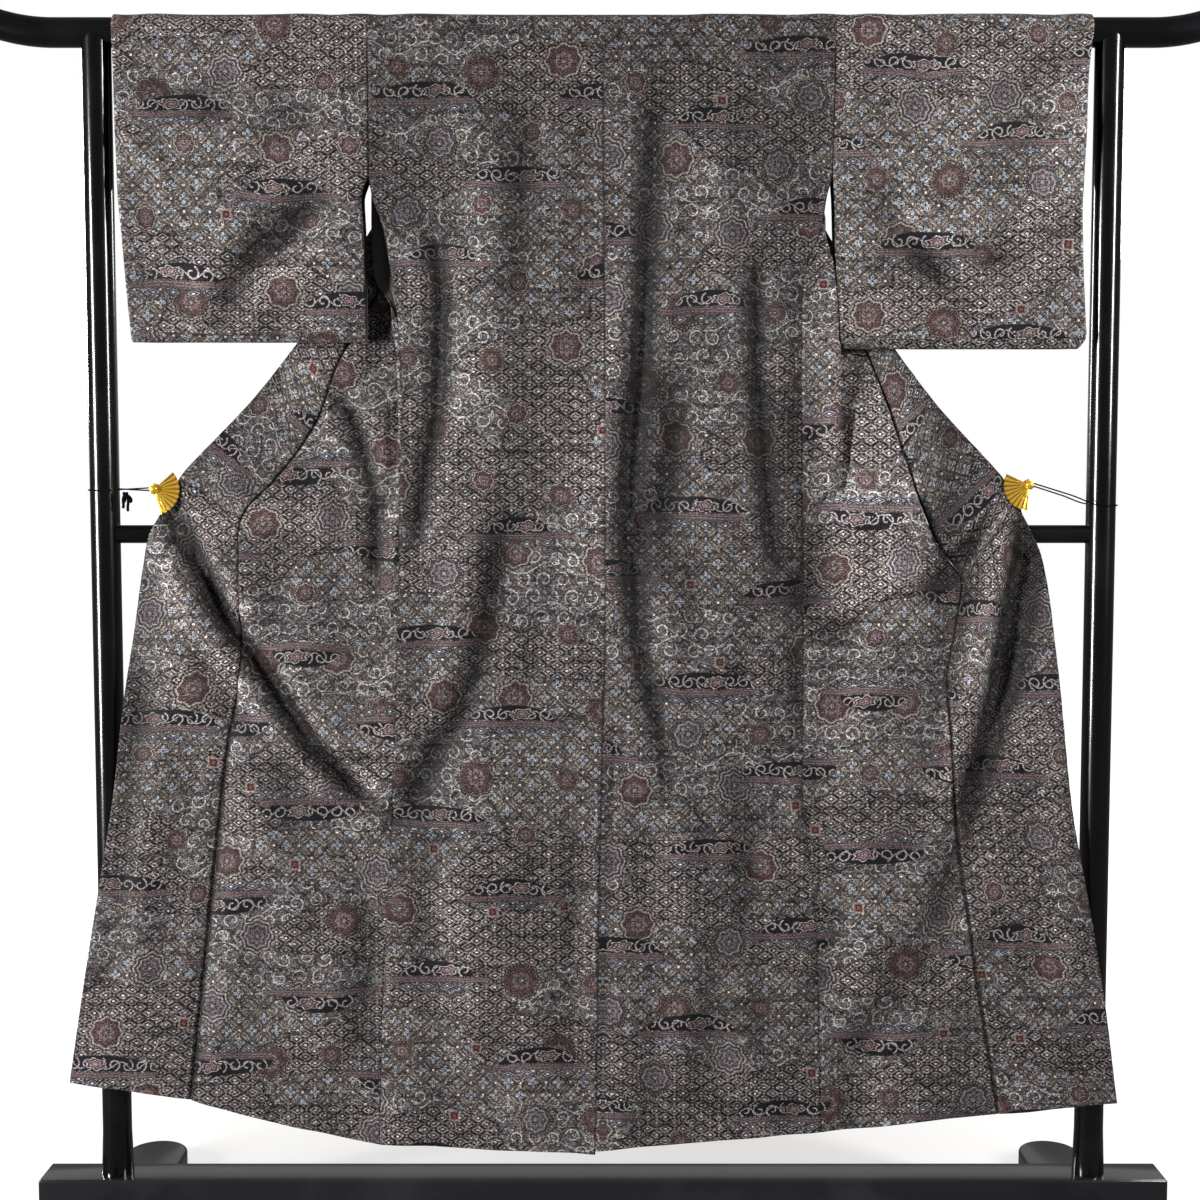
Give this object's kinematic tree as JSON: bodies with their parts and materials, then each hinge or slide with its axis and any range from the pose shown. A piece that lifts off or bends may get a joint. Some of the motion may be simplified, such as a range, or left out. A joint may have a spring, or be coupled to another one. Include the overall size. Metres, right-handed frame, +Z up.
{
  "type": "kimono hung on a display stand",
  "caption": "Lined kimono hung through its sleeves on the top bar of a lacquered display stand, back to the viewer, both fronts drawn out sideways by fan-shaped clips.",
  "frame": {"origin": "on the floor, under the middle of the stand's feet", "axes": "+Z up, +X along the top bar to the right for someone who faces the kimono's back, -Y towards that viewer"},
  "size_m": [1.7766, 0.5, 1.7188],
  "materials": {
    "silk": "dark grey-brown silk with a small woven-look pattern, soft sheen",
    "lining": "plain grey-beige lining",
    "lacquer": "gloss black lacquer",
    "clip_gold": "polished gold plate",
    "cord": "thin black braided elastic cord"
  },
  "bodies": {
    "root": {"top_bar": "lacquer", "upright_left": "lacquer", "upright_right": "lacquer", "mid_rail": "lacquer", "base_beam": "lacquer", "foot_left": "lacquer", "foot_right": "lacquer", "body_left": "silk", "body_right": "silk", "sleeve_left": "silk", "sleeve_right": "silk", "overlap_left": "silk", "overlap_right": "silk", "collar": "silk", "fan_left": "clip_gold", "fan_right": "clip_gold", "hub_left": "clip_gold", "hub_right": "clip_gold", "jaw_left": "clip_gold", "jaw_right": "clip_gold", "cord_left": "cord", "cord_right": "cord", "cord_bow": "cord"}
  },
  "joints": []
}
